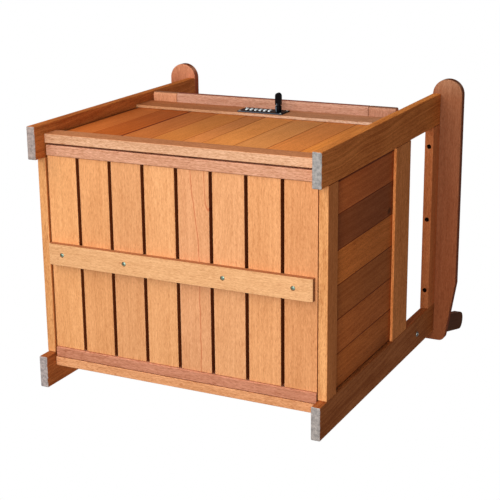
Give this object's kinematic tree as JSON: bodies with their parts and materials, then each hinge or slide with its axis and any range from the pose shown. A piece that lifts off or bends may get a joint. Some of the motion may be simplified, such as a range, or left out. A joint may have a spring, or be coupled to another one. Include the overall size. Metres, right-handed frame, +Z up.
{
  "type": "storage armchair",
  "caption": "Flat-legged wooden garden armchair with a slatted backrest; its hinged seat is the lid of a boarded storage box with a slatted floor and a combination lock.",
  "frame": {"origin": "the middle of the chair's own box in X and Y, on the floor", "axes": "+Z up, the front of the chair faces -Y, +X is to the right seen from the front"},
  "size_m": [0.691, 0.6704, 0.9184],
  "materials": {
    "oiled_wood_light": "oiled hardwood, satin",
    "oiled_wood_tan": "oiled hardwood, satin",
    "oiled_wood_rose": "oiled hardwood, satin",
    "oiled_wood_orange": "oiled hardwood, satin",
    "oiled_wood_brown": "oiled hardwood, satin",
    "oiled_wood_dark": "oiled hardwood, satin",
    "hinge_steel": "satin steel",
    "lock_steel": "bright plated steel",
    "lock_black": "black, satin"
  },
  "bodies": {
    "frame": {"front_leg_left": "oiled_wood_brown", "front_leg_right": "oiled_wood_brown", "rear_leg_left": "oiled_wood_brown", "rear_leg_right": "oiled_wood_brown", "front_bottom_rail": "oiled_wood_tan", "rear_bottom_rail": "oiled_wood_tan", "front_top_rail": "oiled_wood_orange", "rear_top_rail": "oiled_wood_orange", "front_panel": "oiled_wood_orange", "rear_panel": "oiled_wood_orange", "lid_ledger_left": "oiled_wood_orange", "lid_ledger_right": "oiled_wood_orange", "side_bottom_rail_left": "oiled_wood_light", "side_bottom_rail_right": "oiled_wood_light", "seat_rail_left": "oiled_wood_brown", "seat_rail_right": "oiled_wood_brown", "arm_rail_left": "oiled_wood_brown", "arm_rail_right": "oiled_wood_brown", "armrest_left": "oiled_wood_brown", "armrest_right": "oiled_wood_brown", "side_panel_left": "oiled_wood_dark", "side_panel_right": "oiled_wood_dark", "front_floor_cleat": "oiled_wood_rose", "rear_floor_cleat": "oiled_wood_rose", "floor_slat_1": "oiled_wood_light", "floor_slat_2": "oiled_wood_light", "floor_slat_3": "oiled_wood_light", "floor_slat_4": "oiled_wood_light", "floor_slat_5": "oiled_wood_light", "floor_slat_6": "oiled_wood_light", "floor_slat_7": "oiled_wood_light", "floor_slat_8": "oiled_wood_light", "floor_batten": "oiled_wood_light", "hinge_board": "oiled_wood_orange", "backrest_post_left": "oiled_wood_dark", "backrest_post_right": "oiled_wood_dark", "backrest_top_rail": "oiled_wood_brown", "backrest_bottom_rail": "oiled_wood_brown", "backrest_slat_1": "oiled_wood_brown", "backrest_slat_2": "oiled_wood_brown", "backrest_slat_3": "oiled_wood_brown", "hinge_fixed_leaf": "hinge_steel", "lock_body": "lock_black"},
    "lid": {"lid_stile_left": "oiled_wood_orange", "lid_stile_right": "oiled_wood_orange", "lid_board_1": "oiled_wood_rose", "lid_board_2": "oiled_wood_rose", "lid_board_3": "oiled_wood_rose", "lid_board_4": "oiled_wood_rose", "lid_board_5": "oiled_wood_rose", "hinge_lid_leaf": "hinge_steel", "lid_strike": "lock_steel"},
    "thumb_turn": {"thumb_turn": "lock_black", "lock_cam": "lock_steel"},
    "number_wheel_1": {"number_wheel_1": "lock_steel"},
    "number_wheel_2": {"number_wheel_2": "lock_steel"},
    "number_wheel_3": {"number_wheel_3": "lock_steel"},
    "number_wheel_4": {"number_wheel_4": "lock_steel"},
    "number_wheel_5": {"number_wheel_5": "lock_steel"},
    "number_wheel_6": {"number_wheel_6": "lock_steel"}
  },
  "joints": [
    {"name": "lid_hinge", "type": "hinge", "parent": "frame", "child": "lid", "pos_m": [0, 0.13701, 0.4521], "axis": [-1, 0, 0], "range_deg": [0, 106]},
    {"name": "thumb_turn_spin", "type": "hinge", "parent": "frame", "child": "thumb_turn", "pos_m": [0.038, -0.30474, 0.395], "axis": [0, -1, 0], "range_deg": [0, 90]},
    {"name": "number_wheel_1_spin", "type": "hinge", "parent": "frame", "child": "number_wheel_1", "pos_m": [-0.033, -0.27924, 0.398], "axis": [1, 0, 0], "continuous": true},
    {"name": "number_wheel_2_spin", "type": "hinge", "parent": "frame", "child": "number_wheel_2", "pos_m": [-0.0229, -0.27924, 0.398], "axis": [1, 0, 0], "continuous": true},
    {"name": "number_wheel_3_spin", "type": "hinge", "parent": "frame", "child": "number_wheel_3", "pos_m": [-0.0128, -0.27924, 0.398], "axis": [1, 0, 0], "continuous": true},
    {"name": "number_wheel_4_spin", "type": "hinge", "parent": "frame", "child": "number_wheel_4", "pos_m": [-0.0027, -0.27924, 0.398], "axis": [1, 0, 0], "continuous": true},
    {"name": "number_wheel_5_spin", "type": "hinge", "parent": "frame", "child": "number_wheel_5", "pos_m": [0.0074, -0.27924, 0.398], "axis": [1, 0, 0], "continuous": true},
    {"name": "number_wheel_6_spin", "type": "hinge", "parent": "frame", "child": "number_wheel_6", "pos_m": [0.0175, -0.27924, 0.398], "axis": [1, 0, 0], "continuous": true}
  ]
}
